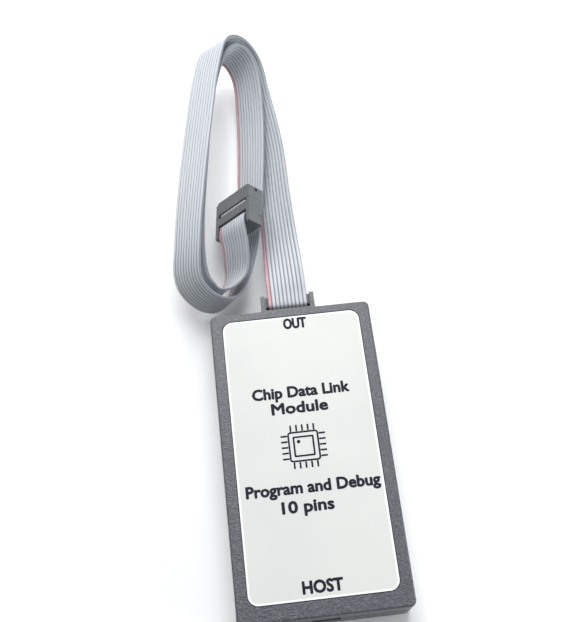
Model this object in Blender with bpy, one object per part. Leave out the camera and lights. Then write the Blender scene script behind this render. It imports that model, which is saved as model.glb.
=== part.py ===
"""USB programmer box with a ten-way ribbon cable: CAD source.

Frame: metres, +Z up. The origin is the centre of the box's underside, +Y runs from the USB end to
the I/O end and +X is to the right. Driving sizes below are in millimetres.
"""
import math

import bmesh
import bpy
import numpy as np
from mathutils import Euler, Matrix, Vector

MM = 0.001

# ---- the box ----------------------------------------------------------------------------------
CASE_W, CASE_L, CASE_H = 50.8, 94.5, 18.0
WALL, CORNER_R, SPLIT_Z, GAP = 2.0, 1.8, 9.0, 0.3
LABEL_W, LABEL_L, LABEL_R, LABEL_Y = 43.2, 86.8, 3.0, 1.1
LABEL_T, RECESS_D = 0.4, 0.7
SCREW_X, SCREW_Y = 19.6, 41.0
POST_R, SCREW_HOLE_R, SCREW_R = 3.2, 1.5, 1.2
HEAD_R, HEAD_H, COUNTERBORE_R, COUNTERBORE_H = 2.6, 1.7, 2.9, 2.4

# ---- the board and what stands on it -------------------------------------------------------------
BOARD_W, BOARD_L, BOARD_Z, BOARD_T = 45.6, 89.6, 5.0, 1.6
TOP = BOARD_Z + BOARD_T + GAP          # lowest level of what stands on the board
CHIP_W, CHIP_H, LEADS_PER_SIDE, LEAD_PITCH = 10.0, 1.4, 16, 0.5

# ---- the ten-way connectors ----------------------------------------------------------------------
WAYS, PITCH, PIN_T = 5, 2.54, 0.64
PLUG_W, PLUG_T = 17.3, 6.0
PLUG_Y, PLUG_Z = 50.0, 11.0            # where the ribbon crosses behind the plug's cover
BODY_Y0, BODY_Y1 = 5.35, 10.6          # measured from there, towards the mating face
COVER_Y0, COVER_Y1 = 0.75, 3.85
BAR_Y0, BAR_Y1, BAR_TOP = -4.2, -0.75, 1.6
COVER_BACK = -1.2                      # the cover stops short of the fold behind it
STEP_W, STEP_H = 0.9, 0.8              # both ends of the mating face are cut back by this much
SHROUD_W, SHROUD_H, SHROUD_WALL, SHROUD_BACK_Y = 19.9, 8.2, 0.8, 37.4
PLUG_SET = ((0, PLUG_Y, PLUG_Z), (0, 0, 180))              # place and turn in degrees
FREE_SET = ((-13.0, 82.0, 14.5), (-8, -47, 0))

# ---- the USB socket -------------------------------------------------------------------------------
USB_W, USB_H, USB_L, USB_T, USB_MOUTH_Y = 7.7, 3.9, 9.0, 0.4, -46.9

# ---- the ribbon -------------------------------------------------------------------------------------
RIBBON_W, RIBBON_T, STEPS = 12.7, 0.9, 4
# inside a plug, seen along its width: clamped, folded behind the cover, out over the strain relief
WRAP = [(4.6, 2.7), (4.6, 0.7), (4.6, -1.3), (4.25, -2.15), (3.4, -2.5), (1.2, -2.5), (0.35, -2.15),
        (0, -1.3), (0, 0.1), (0, 1.5), (-0.35, 2.35), (-1.2, 2.7), (-4.5, 2.8)]
# between the plugs: centre line x, y, z, and lean in degrees of the ribbon's width above level
RUN = [
    (0, 59, 14, 4), (0, 66, 13, 13), (0, 77, 10, 24), (0, 93, 8, 31), (0, 115, 7, 35),
    (-2, 137, 6, 37), (-4, 150, 9, 37), (-9, 155, 15, 36), (-15, 152, 20, 37),
    (-19, 139, 22, 38), (-23, 117, 24, 38), (-27, 93, 25, 40), (-30, 73, 23, 44),
    (-31, 61, 18, 48), (-26, 55, 13, 56), (-19, 56, 8, 58), (-14, 65, 7, 56), (-10, 82, 6, 49),
    (-7, 105, 7, 42), (-5, 128, 7, 40), (-5, 145, 10, 44), (-9, 152, 14, 46),
    (-15, 148, 17, 46), (-21, 130, 18, 46), (-26, 100, 19, 44), (-29, 77, 18, 44),
    (-29, 63, 15, 46), (-25, 58, 12, 51), (-20, 59, 11, 54), (-16, 64, 12, 52), (-15, 71, 15, 49),
]

COLOURS = {
    "case_plastic": (0.20, 0.21, 0.22, 0.62), "label_print": (0.86, 0.86, 0.85, 0.45),
    "screw_steel": (0.55, 0.55, 0.56, 0.35), "board_laminate": (0.03, 0.16, 0.08, 0.45),
    "header_plastic": (0.03, 0.03, 0.03, 0.5), "pin_gold": (0.83, 0.66, 0.30, 0.3),
    "usb_steel": (0.70, 0.70, 0.72, 0.3), "usb_insert_plastic": (0.04, 0.04, 0.04, 0.5),
    "chip_epoxy": (0.025, 0.025, 0.028, 0.6), "lead_tin": (0.72, 0.72, 0.73, 0.35),
    "crystal_steel": (0.66, 0.66, 0.67, 0.3), "ceramic_tan": (0.50, 0.36, 0.22, 0.5),
    "resistor_ceramic": (0.06, 0.06, 0.07, 0.5), "tantalum_epoxy": (0.70, 0.42, 0.06, 0.5),
    "plug_plastic": (0.22, 0.23, 0.24, 0.5), "ribbon_pvc": (0.50, 0.52, 0.55, 0.45),
}


# ---- modelling helpers: everything is drawn in millimetres and stored in metres --------------------
def clear_scene():
    for ob in list(bpy.data.objects):
        bpy.data.objects.remove(ob, do_unlink=True)


def material(slot, node_name):
    """One Principled material for each node, in the colour of its slot."""
    red, green, blue, rough = COLOURS[slot]
    mat = bpy.data.materials.new(node_name + "_" + slot)
    mat.use_nodes = True
    shader = mat.node_tree.nodes["Principled BSDF"]
    shader.inputs["Base Color"].default_value = (red, green, blue, 1.0)
    shader.inputs["Roughness"].default_value = rough
    metals = ("screw_steel", "pin_gold", "usb_steel", "lead_tin", "crystal_steel")
    shader.inputs["Metallic"].default_value = 1.0 if slot in metals else 0.0
    return mat


def box(bm, x0, x1, y0, y1, z0, z1):
    size = Matrix.Diagonal((x1 - x0, y1 - y0, z1 - z0, 1.0))
    place = Matrix.Translation(((x0 + x1) / 2, (y0 + y1) / 2, (z0 + z1) / 2))
    bmesh.ops.create_cube(bm, size=1.0, matrix=place @ size)


def rod(bm, x, y, z0, z1, radius, sides=24):
    bmesh.ops.create_cone(bm, cap_ends=True, segments=sides, radius1=radius, radius2=radius,
                          depth=z1 - z0, matrix=Matrix.Translation((x, y, (z0 + z1) / 2)))


def prism(bm, outline, z0, z1):
    """A closed straight-sided solid over a flat outline."""
    face = bm.faces.new([bm.verts.new((x, y, z0)) for x, y in outline])
    grown = bmesh.ops.extrude_face_region(bm, geom=[face])["geom"]
    for vert in grown:
        if isinstance(vert, bmesh.types.BMVert):
            vert.co.z = z1


def rounded_outline(width, length, radius, x=0.0, y=0.0, steps=5):
    points = []
    corners = ((1, 1, 0), (-1, 1, 90), (-1, -1, 180), (1, -1, 270))
    for sx, sy, start in corners:
        cx, cy = x + sx * (width / 2 - radius), y + sy * (length / 2 - radius)
        for i in range(steps + 1):
            turn = math.radians(start + 90.0 * i / steps)
            points.append((cx + radius * math.cos(turn), cy + radius * math.sin(turn)))
    return points


def to_object(name, bm, origin=(0, 0, 0)):
    """Store the mesh in metres, with its origin at the given point of the drawing."""
    bmesh.ops.translate(bm, verts=bm.verts, vec=-Vector(origin))
    bmesh.ops.scale(bm, verts=bm.verts, vec=(MM, MM, MM))
    bmesh.ops.recalc_face_normals(bm, faces=bm.faces)
    mesh = bpy.data.meshes.new(name)
    bm.to_mesh(mesh)
    bm.free()
    ob = bpy.data.objects.new(name, mesh)
    ob.location = Vector(origin) * MM
    bpy.context.scene.collection.objects.link(ob)
    return ob


def node(name, slot, bm, origin=(0, 0, 0), bevel=0.0, smooth=False):
    ob = to_object(name, bm, origin)
    ob.data.materials.append(material(slot, name))
    if smooth:
        ob.data.shade_smooth()
        ob.data.set_sharp_from_angle(angle=math.radians(35))
    if bevel:
        mod = ob.modifiers.new("edges", "BEVEL")
        mod.width = bevel * MM
        mod.segments = 2
        mod.limit_method = "ANGLE"
        mod.angle_limit = math.radians(40)
    return ob


def cut(ob, bm, name, operation="DIFFERENCE"):
    """Take the drawn shape away from a node with an exact boolean."""
    tool = to_object(ob.name + "_" + name, bm)
    tool.hide_render = True
    tool.display_type = "WIRE"
    mod = ob.modifiers.new(name, "BOOLEAN")
    mod.operation = operation
    mod.solver = "EXACT"
    mod.object = tool
    if ob.parent:
        tool.parent = ob.parent
    return tool


def screw_places():
    return [(sx * SCREW_X, sy * SCREW_Y) for sx in (-1, 1) for sy in (-1, 1)]


# ---- the box -------------------------------------------------------------------------------------------
def end_openings(bm):
    """The header's window at the I/O end and the USB window at the other end."""
    half = SHROUD_W / 2 + GAP
    box(bm, -half, half, CASE_L / 2 - WALL - 1, CASE_L / 2 + 1,
        PLUG_Z - SHROUD_H / 2 - GAP, PLUG_Z + SHROUD_H / 2 + GAP)
    half = USB_W / 2 + GAP
    box(bm, -half, half, -CASE_L / 2 - 1, -CASE_L / 2 + WALL + 1, TOP - GAP, TOP + USB_H + GAP)


def bottom_shell():
    bm = bmesh.new()
    prism(bm, rounded_outline(CASE_W, CASE_L, CORNER_R), 0, SPLIT_Z - GAP / 2)
    ob = node("bottom_shell", "case_plastic", bm, bevel=0.5)
    bm = bmesh.new()
    prism(bm, rounded_outline(CASE_W - 2 * WALL, CASE_L - 2 * WALL, 1.2, steps=3), WALL, SPLIT_Z + 1)
    cut(ob, bm, "hollow")
    bm = bmesh.new()
    for x, y in screw_places():
        rod(bm, x, y, WALL - 0.5, BOARD_Z - GAP, POST_R + 0.4)
    cut(ob, bm, "posts", "UNION")
    bm = bmesh.new()
    for x, y in screw_places():
        rod(bm, x, y, -1, COUNTERBORE_H, COUNTERBORE_R)
    cut(ob, bm, "counterbores")
    bm = bmesh.new()
    for x, y in screw_places():
        rod(bm, x, y, COUNTERBORE_H - 1, BOARD_Z + 1, SCREW_HOLE_R, 16)
    cut(ob, bm, "screw_holes")
    bm = bmesh.new()
    end_openings(bm)
    cut(ob, bm, "openings")


def top_shell():
    bm = bmesh.new()
    prism(bm, rounded_outline(CASE_W, CASE_L, CORNER_R), SPLIT_Z + GAP / 2, CASE_H)
    ob = node("top_shell", "case_plastic", bm, bevel=0.5)
    bm = bmesh.new()
    prism(bm, rounded_outline(CASE_W - 2 * WALL, CASE_L - 2 * WALL, 1.2, steps=3),
          SPLIT_Z - 1, CASE_H - WALL)
    cut(ob, bm, "hollow")
    bm = bmesh.new()
    prism(bm, rounded_outline(LABEL_W + 2 * GAP, LABEL_L + 2 * GAP, LABEL_R + GAP, y=LABEL_Y),
          CASE_H - RECESS_D, CASE_H + 1)
    cut(ob, bm, "label_recess")
    bm = bmesh.new()
    for x, y in screw_places():
        rod(bm, x, y, BOARD_Z + BOARD_T + GAP, CASE_H - WALL + 0.4, POST_R)
    cut(ob, bm, "posts", "UNION")
    bm = bmesh.new()
    for x, y in screw_places():
        rod(bm, x, y, BOARD_Z, CASE_H - WALL - 1.5, SCREW_HOLE_R, 16)
    cut(ob, bm, "pilot_holes")
    bm = bmesh.new()
    end_openings(bm)
    cut(ob, bm, "openings")


def top_label():
    bm = bmesh.new()
    z0 = CASE_H - RECESS_D + GAP - 0.05
    prism(bm, rounded_outline(LABEL_W, LABEL_L, LABEL_R, y=LABEL_Y, steps=8), z0 + 0.05, z0 + LABEL_T)
    node("top_label", "label_print", bm)


def case_screws():
    """Four cross-head screws from below, each an object of its own."""
    for i, (x, y) in enumerate(screw_places(), 1):
        bm = bmesh.new()
        rod(bm, x, y, COUNTERBORE_H - GAP - HEAD_H, COUNTERBORE_H - GAP, HEAD_R, 24)
        ob = node(f"case_screw_{i}", "screw_steel", bm, origin=(x, y, 0), smooth=True)
        bm = bmesh.new()
        rod(bm, x, y, COUNTERBORE_H - GAP - 0.4, 13.0, SCREW_R, 16)
        cut(ob, bm, "shank", "UNION")
        bm = bmesh.new()
        box(bm, x - 1.6, x + 1.6, y - 0.35, y + 0.35, 0, 1.3)
        cut(ob, bm, "slot_across")
        bm = bmesh.new()
        box(bm, x - 0.35, x + 0.35, y - 1.6, y + 1.6, 0, 1.3)
        cut(ob, bm, "slot_along")


# ---- the board -----------------------------------------------------------------------------------------
def pin_rows():
    """Column x, row height and where its tail turns down, for the ten header pins."""
    for col in range(WAYS):
        x = (col - (WAYS - 1) / 2) * PITCH
        for row, tail_y in ((-0.5, 35.4), (0.5, 32.86)):
            yield x, PLUG_Z + row * PITCH, tail_y


def circuit_board():
    bm = bmesh.new()
    prism(bm, rounded_outline(BOARD_W, BOARD_L, 1.0, steps=3), BOARD_Z, BOARD_Z + BOARD_T)
    ob = node("circuit_board", "board_laminate", bm)
    bm = bmesh.new()
    for x, y in screw_places():
        rod(bm, x, y, BOARD_Z - 1, BOARD_Z + BOARD_T + 1, SCREW_HOLE_R, 16)
    for x, _, tail_y in pin_rows():
        rod(bm, x, tail_y, BOARD_Z - 1, BOARD_Z + BOARD_T + 1, 0.8, 10)
    cut(ob, bm, "holes")


def io_header():
    half_w, half_h = SHROUD_W / 2, SHROUD_H / 2
    bm = bmesh.new()
    box(bm, -half_w, half_w, SHROUD_BACK_Y, CASE_L / 2, PLUG_Z - half_h, PLUG_Z + half_h)
    ob = node("io_header_shroud", "header_plastic", bm)
    bm = bmesh.new()
    box(bm, -half_w + SHROUD_WALL, half_w - SHROUD_WALL, SHROUD_BACK_Y + 1.6, CASE_L / 2 + 1,
        PLUG_Z - half_h + SHROUD_WALL, PLUG_Z + half_h - SHROUD_WALL)
    cut(ob, bm, "mouth")
    bm = bmesh.new()
    box(bm, -2.3, 2.3, SHROUD_BACK_Y + 1.6, CASE_L / 2 + 1, PLUG_Z + 2, PLUG_Z + half_h + 1)
    cut(ob, bm, "key_slot")
    bm = bmesh.new()
    for x, z, _ in pin_rows():
        box(bm, x - 0.65, x + 0.65, SHROUD_BACK_Y - 1, SHROUD_BACK_Y + 2, z - 0.65, z + 0.65)
    cut(ob, bm, "pin_holes")

    for i, (x, z, tail_y) in enumerate(pin_rows(), 1):
        bm = bmesh.new()
        elbow_pin(bm, x, z, tail_y)
        node(f"header_pin_{i}", "pin_gold", bm, origin=(x, SHROUD_BACK_Y, z))


def elbow_pin(bm, x, z, tail_y):
    """One square pin: along the header, then down through the board."""
    t = PIN_T / 2
    outline = [(tail_y - t, BOARD_Z - 0.9), (tail_y + t, BOARD_Z - 0.9), (tail_y + t, z - t),
               (SHROUD_BACK_Y + 6.2, z - t), (SHROUD_BACK_Y + 6.2, z + t), (tail_y - t, z + t)]
    face = bm.faces.new([bm.verts.new((x - t, y, h)) for y, h in outline])
    grown = bmesh.ops.extrude_face_region(bm, geom=[face])["geom"]
    for vert in grown:
        if isinstance(vert, bmesh.types.BMVert):
            vert.co.x = x + t


def usb_socket():
    y0, y1 = USB_MOUTH_Y, USB_MOUTH_Y + USB_L
    bm = bmesh.new()
    box(bm, -USB_W / 2, USB_W / 2, y0, y1, TOP, TOP + USB_H)
    ob = node("usb_socket_shell", "usb_steel", bm)
    bm = bmesh.new()
    box(bm, -USB_W / 2 + USB_T, USB_W / 2 - USB_T, y0 - 1, y1 - 0.6, TOP + USB_T,
        TOP + USB_H - USB_T)
    cut(ob, bm, "mouth")

    bm = bmesh.new()
    box(bm, -2.6, 2.6, y0 + 1.0, y1 - 0.9, TOP + 1.35, TOP + 2.15)
    box_back = (-3.1, 3.1, y1 - 3.4, y1 - 0.9, TOP + USB_T + GAP, TOP + USB_H - USB_T - GAP)
    ob = node("usb_socket_insert", "usb_insert_plastic", bm)
    bm = bmesh.new()
    box(bm, *box_back)
    cut(ob, bm, "back_block", "UNION")


def leaded_chip(name, cx, cy, width, length, height, leads, pitch, sides):
    """A moulded chip and its bent leads, on two sides or on all four."""
    bm = bmesh.new()
    box(bm, cx - width / 2, cx + width / 2, cy - length / 2, cy + length / 2,
        TOP + 0.1, TOP + 0.1 + height)
    chip = node(name, "chip_epoxy", bm, origin=(cx, cy, TOP), bevel=0.12)
    bm = bmesh.new()
    for side in range(sides):
        turn = Matrix.Rotation(math.radians(90 * side if sides == 4 else 180 * side), 4, "Z")
        reach = (width if sides == 2 or side % 2 == 0 else length) / 2
        for i in range(leads):
            along = (i - (leads - 1) / 2) * pitch
            bent_lead(bm, Matrix.Translation((cx, cy, 0)) @ turn, reach, along, pitch * 0.44, height)
    cut(chip, bm, "leads", "UNION")


def bent_lead(bm, place, reach, along, width, height):
    """A lead: out of the chip's side, down, and out again as a foot."""
    z1, t = TOP + 0.1 + height * 0.55, 0.15
    r = reach
    outline = [(r - 0.5, z1), (r - 0.5, z1 - t), (r + 0.3, z1 - t), (r + 0.3, TOP), (r + 1.0, TOP),
               (r + 1.0, TOP + t), (r + 0.3 + t, TOP + t), (r + 0.3 + t, z1)]
    ends = [[bm.verts.new(place @ Vector((x, along + s * width / 2, z))) for x, z in outline]
            for s in (-1, 1)]
    bm.faces.new(ends[0])
    bm.faces.new(list(reversed(ends[1])))
    for i in range(len(outline)):
        j = (i + 1) % len(outline)
        bm.faces.new((ends[0][j], ends[0][i], ends[1][i], ends[1][j]))


def small_parts():
    """The crystal, the capacitors and the resistors."""
    bm = bmesh.new()
    prism(bm, rounded_outline(4.6, 11.2, 2.2, 14.5, -16.0, steps=8), TOP, TOP + 3.4)
    node("crystal_can", "crystal_steel", bm, bevel=0.3, smooth=True)

    for i in range(4):
        chip_block(f"ceramic_capacitor_{i + 1}", "ceramic_tan", 4.2 * i - 6.3, 9.6, 2.0, 1.25, 0.9)
        chip_block(f"chip_resistor_{i + 1}", "resistor_ceramic", 2.6 * i - 3.9, 27.6, 1.25, 2.0, 0.55)
    for i, x in enumerate((-10.5, 10.5), 1):
        chip_block(f"tantalum_capacitor_{i}", "tantalum_epoxy", x, -34.0, 3.2, 6.0, 2.5)


def chip_block(name, slot, x, y, width, length, height):
    bm = bmesh.new()
    box(bm, x - width / 2, x + width / 2, y - length / 2, y + length / 2, TOP, TOP + height)
    node(name, slot, bm, origin=(x, y, TOP), bevel=0.08)


# ---- the ten-way ribbon plugs ---------------------------------------------------------------------------
def ribbon_plug(prefix, parent, place, turn):
    """One plug in three pieces. Its own frame: X along the ribbon's width, Y towards the mating
    face, Z the side that the ribbon leaves by, and the origin where the ribbon crosses it."""
    half_w, half_t = PLUG_W / 2, PLUG_T / 2

    def put(name, slot, bm, bevel=0.15):
        ob = node(prefix + name, slot, bm, bevel=bevel)
        ob.parent = parent
        ob.location = (Vector(place) - parent_place(parent)) * MM
        ob.rotation_euler = [math.radians(a) for a in turn]
        return ob

    def cut_here(ob, bm, name, operation="DIFFERENCE"):
        tool = cut(ob, bm, name, operation)
        tool.location = ob.location
        tool.rotation_euler = ob.rotation_euler

    bm = bmesh.new()
    box(bm, -half_w, half_w, BODY_Y0, BODY_Y1, -half_t, half_t)
    body = put("body", "plug_plastic", bm)
    bm = bmesh.new()
    for col in range(WAYS):
        for row in (-0.5, 0.5):
            x, z = (col - (WAYS - 1) / 2) * PITCH, row * PITCH
            box(bm, x - 0.65, x + 0.65, BODY_Y0 + 0.6, BODY_Y1 + 1, z - 0.65, z + 0.65)
    cut_here(body, bm, "pin_holes")
    bm = bmesh.new()
    for side in (-1, 1):
        box(bm, side * half_w - 0.5, side * half_w + 0.5, 8.2, 9.4, -0.6, 0.6)
        box(bm, side * half_w - STEP_W, side * half_w + STEP_W, BODY_Y1 - STEP_H, BODY_Y1 + 1,
            -half_t - 1, half_t + 1)
    cut_here(body, bm, "pockets_and_steps")

    bm = bmesh.new()
    box(bm, -half_w, half_w, COVER_Y0, COVER_Y1, COVER_BACK, half_t)
    cover = put("cover", "plug_plastic", bm)
    bm = bmesh.new()
    for side in (-1, 1):
        box(bm, side * 7.9 - 0.75, side * 7.9 + 0.75, BAR_Y1 + GAP, BODY_Y0 - GAP, -half_t, half_t)
    cut_here(cover, bm, "cheeks", "UNION")
    bm = bmesh.new()
    for side in (-1, 1):
        box(bm, side * half_w - 1.2, side * half_w + 1.2, BAR_Y1 - 1, 2.4, -1.5, 1.5)
    cut_here(cover, bm, "arm_notches")

    bm = bmesh.new()
    box(bm, -half_w, half_w, BAR_Y0, BAR_Y1, -half_t, BAR_TOP)
    bar = put("strain_relief", "plug_plastic", bm)
    bm = bmesh.new()
    for side in (-1, 1):
        box(bm, side * 8.2 - 0.45, side * 8.2 + 0.45, BAR_Y1 - 1, 2.0, -1.2, 1.2)
    cut_here(bar, bm, "arms", "UNION")
    bm = bmesh.new()
    for side in (-1, 1):
        box(bm, side * 7.95 - 0.7, side * 7.95 + 0.7, BAR_Y0, BAR_Y1, BAR_TOP - 1, half_t)
    cut_here(bar, bm, "ears", "UNION")


def parent_place(parent):
    return Vector(parent.location) / MM


# ---- the ribbon ------------------------------------------------------------------------------------------
def smooth_route(points, steps):
    """A smooth line through every point of the route, with the lean carried along."""
    rows = np.array(points, float)
    rows = np.vstack([2 * rows[0] - rows[1], rows, 2 * rows[-1] - rows[-2]])
    line = []
    for i in range(1, len(rows) - 2):
        a, b, c, d = rows[i - 1:i + 3]
        for k in range(steps):
            s = k / steps
            line.append(0.5 * (2 * b + (c - a) * s + (2 * a - 5 * b + 4 * c - d) * s * s
                               + (3 * b - a - 3 * c + d) * s ** 3))
    line.append(rows[-2])
    return np.array(line)


def ribbon_frames(line):
    """Centre, width direction and face normal at each step along the ribbon."""
    centre, lean = line[:, :3], np.radians(line[:, 3])
    along = np.gradient(centre, axis=0)
    along /= np.linalg.norm(along, axis=1)[:, None]
    width = np.stack([np.cos(lean), 0 * lean, np.sin(lean)], axis=1)
    width -= (width * along).sum(axis=1)[:, None] * along
    width /= np.linalg.norm(width, axis=1)[:, None]
    return centre, width, np.cross(width, along)


def plug_matrix(place, turn):
    return Matrix.LocRotScale(Vector(place), Euler([math.radians(a) for a in turn]), None)


def ribbon_route():
    """The whole centre line: through one plug, along the run, and through the other plug."""
    first, last = plug_matrix(*PLUG_SET), plug_matrix(*FREE_SET)
    start = [(*(first @ Vector((0, y, z))), 0) for y, z in WRAP]
    end = [(*(last @ Vector((0, y, z))), -FREE_SET[1][1]) for y, z in reversed(WRAP)]
    return start + RUN + end


def ribbon_cable(parent):
    centre, width, face = ribbon_frames(smooth_route(ribbon_route(), STEPS))
    bm = bmesh.new()
    rings = []
    for c, w, n in zip(centre, width, face):
        corners = ((-1, -1), (1, -1), (1, 1), (-1, 1))
        rings.append([bm.verts.new(c + w * (RIBBON_W / 2 * i) + n * (RIBBON_T / 2 * j))
                      for i, j in corners])
    for low, high in zip(rings, rings[1:]):
        for i in range(4):
            j = (i + 1) % 4
            bm.faces.new((low[i], low[j], high[j], high[i]))
    bm.faces.new(list(reversed(rings[0])))
    bm.faces.new(rings[-1])
    ob = node("ribbon_cable", "ribbon_pvc", bm, origin=(0, PLUG_Y, PLUG_Z))
    ob.parent = parent
    ob.location = (0, 0, 0)


def cable():
    """The plug, the ribbon and the free socket hang from one point on the line they pull out along."""
    axis = bpy.data.objects.new("cable_axis", None)
    axis.location = (0, PLUG_Y * MM, PLUG_Z * MM)
    bpy.context.scene.collection.objects.link(axis)
    ribbon_plug("plug_", axis, *PLUG_SET)
    ribbon_plug("free_", axis, *FREE_SET)
    ribbon_cable(axis)


clear_scene()
bottom_shell()
top_shell()
top_label()
case_screws()
circuit_board()
io_header()
usb_socket()
leaded_chip("controller_chip", 0, -8, CHIP_W, CHIP_W, CHIP_H, LEADS_PER_SIDE, LEAD_PITCH, 4)
leaded_chip("memory_chip", -13, 18, 3.9, 4.9, 1.4, 4, 1.27, 2)
leaded_chip("regulator", 12, 17, 3.5, 6.5, 1.6, 3, 2.3, 2)
small_parts()
cable()
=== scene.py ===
# %% [markdown]
# # A programmer box with its ribbon cable
# The box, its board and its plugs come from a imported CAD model, which stays exactly where it is. This lesson adds
# what makes it look real: a ribbed ribbon, softened plastic edges, a printed label, metal contacts and finishes.

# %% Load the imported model
import math

import bmesh
import bpy
import numpy as np
from mathutils import Euler, Matrix, Quaternion, Vector


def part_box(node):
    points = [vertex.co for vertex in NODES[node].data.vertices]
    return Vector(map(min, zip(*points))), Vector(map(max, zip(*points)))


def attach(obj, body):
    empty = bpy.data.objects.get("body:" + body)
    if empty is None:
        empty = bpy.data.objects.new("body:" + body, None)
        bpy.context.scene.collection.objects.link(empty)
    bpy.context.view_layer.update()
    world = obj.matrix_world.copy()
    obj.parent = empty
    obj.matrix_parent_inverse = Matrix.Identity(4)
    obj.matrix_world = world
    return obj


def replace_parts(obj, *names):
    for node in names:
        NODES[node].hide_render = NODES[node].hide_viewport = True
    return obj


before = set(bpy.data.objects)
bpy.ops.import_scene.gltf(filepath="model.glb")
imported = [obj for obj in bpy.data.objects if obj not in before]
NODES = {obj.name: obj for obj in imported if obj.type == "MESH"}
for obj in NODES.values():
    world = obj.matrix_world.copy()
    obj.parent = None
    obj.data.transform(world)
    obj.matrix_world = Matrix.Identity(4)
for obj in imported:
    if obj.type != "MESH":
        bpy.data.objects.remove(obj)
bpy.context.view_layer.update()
MM = 0.001

# %% [markdown]
# ## The camera
# The box is seen from its USB end, from high up, so its far end looks a little narrower. A camera is easiest to
# place by the point it stands at, the point it aims at, and a small roll about its own axis.

# %% Place the camera
EYE = Vector((-12.44, -74.09, 295.0)) * MM
AIM = Vector((-1.35, 46.57, 18.0)) * MM
ROLL = math.radians(-1.29)
scene = bpy.context.scene
lens = bpy.data.cameras.new("view_camera")
lens.lens, lens.sensor_width, lens.clip_start = 55.0, 36.0, 0.01
camera = bpy.data.objects.new("view_camera", lens)
camera.location = EYE
camera.rotation_mode = "QUATERNION"
camera.rotation_quaternion = (AIM - EYE).to_track_quat("-Z", "Y") @ Quaternion((0, 0, 1), ROLL)
scene.collection.objects.link(camera)
scene.camera = camera
print("camera looks down by", round(math.degrees(math.asin(-(AIM - EYE).normalized().z)), 1), "degrees")

# %% [markdown]
# ## The ribbon's route
# A ribbon cable is flat, so a centre line isn't enough: each point also says how far the ribbon's width leans
# above level. Inside a plug the ribbon is clamped, folds behind the cover and leaves over the strain relief, so
# that part is drawn once in the plug's own frame and set down at both plugs.

# %% Set out the route
CASE_PLUG = ((0, 50, 11), (0, 0, 180))             # place in mm and turn in degrees
END_PLUG = ((-13, 82, 14.5), (-8, -47, 0))
PLUG_FOLD = [(4.6, 2.7), (4.6, 0.7), (4.6, -1.3), (4.25, -2.15), (3.4, -2.5), (1.2, -2.5), (0.35, -2.15),
             (0, -1.3), (0, 0.1), (0, 1.5), (-0.35, 2.35), (-1.2, 2.7), (-4.5, 2.8)]
OPEN_RUN = [                                       # x, y, z in mm, and lean in degrees
    (0, 59, 14, 4), (0, 66, 13, 13), (0, 77, 10, 24), (0, 93, 8, 31), (0, 115, 7, 35),
    (-2, 137, 6, 37), (-4, 150, 9, 37), (-9, 155, 15, 36), (-15, 152, 20, 37),
    (-19, 139, 22, 38), (-23, 117, 24, 38), (-27, 93, 25, 40), (-30, 73, 23, 44),
    (-31, 61, 18, 48), (-26, 55, 13, 56), (-19, 56, 8, 58), (-14, 65, 7, 56), (-10, 82, 6, 49),
    (-7, 105, 7, 42), (-5, 128, 7, 40), (-5, 145, 10, 44), (-9, 152, 14, 46),
    (-15, 148, 17, 46), (-21, 130, 18, 46), (-26, 100, 19, 44), (-29, 77, 18, 44),
    (-29, 63, 15, 46), (-25, 58, 12, 51), (-20, 59, 11, 54), (-16, 64, 12, 52), (-15, 71, 15, 49)]


def plug_frame(place, turn):
    """Where a plug's own frame stands: X along the ribbon's width, Y to the mating face."""
    return Matrix.LocRotScale(Vector(place), Euler([math.radians(a) for a in turn]), None)


def folded_in(plug):
    """The points of the fold inside one plug, with the ribbon level with that plug."""
    stand = plug_frame(*plug)
    return [(*(stand @ Vector((0, y, z))), -plug[1][1]) for y, z in PLUG_FOLD]


route = np.array(folded_in(CASE_PLUG) + OPEN_RUN + folded_in(END_PLUG)[::-1], float)
print("route points:", len(route))

# %% [markdown]
# ## A smooth line and its frames
# A Catmull-Rom curve passes through every point, so the ribbon goes exactly where the CAD says. At each step the
# frame has three directions: along the ribbon, across its width, and out of its face.

# %% Smooth the route
STEPS = 6


def smooth_line(points, steps):
    """A smooth line through every point, with the lean carried along."""
    rows = np.vstack([2 * points[0] - points[1], points, 2 * points[-1] - points[-2]])
    line = []
    for i in range(1, len(rows) - 2):
        a, b, c, d = rows[i - 1:i + 3]
        for k in range(steps):
            s = k / steps
            line.append(0.5 * (2 * b + (c - a) * s + (2 * a - 5 * b + 4 * c - d) * s * s
                               + (3 * b - a - 3 * c + d) * s ** 3))
    line.append(rows[-2])
    return np.array(line)


line = smooth_line(route, STEPS)
centre, lean = line[:, :3] * MM, np.radians(line[:, 3])
along = np.gradient(centre, axis=0)
along /= np.linalg.norm(along, axis=1)[:, None]
across = np.stack([np.cos(lean), 0 * lean, np.sin(lean)], axis=1)
across -= (across * along).sum(axis=1)[:, None] * along
across /= np.linalg.norm(across, axis=1)[:, None]
outward = np.cross(across, along)
run = np.concatenate([[0], np.cumsum(np.linalg.norm(np.diff(centre, axis=0), axis=1))])
print("ribbon length in mm:", round(run[-1] / MM, 1), "in", len(line), "steps")

# %% [markdown]
# ## Helpers for Geometry Nodes
# A tree is a recipe: named sizes go in at the left, geometry comes out at the right. These helpers start a tree,
# add a node with its inputs, and turn the finished recipe into a plain mesh, because a recipe can't be exported.

# %% Start, fill and bake a tree
def put(name, data):
    """Adds an object with that data to the scene."""
    made = bpy.data.objects.new(name, data)
    scene.collection.objects.link(made)
    return made


SOCKETS = {"geometry": "NodeSocketGeometry", "number": "NodeSocketFloat", "count": "NodeSocketInt"}


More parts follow.
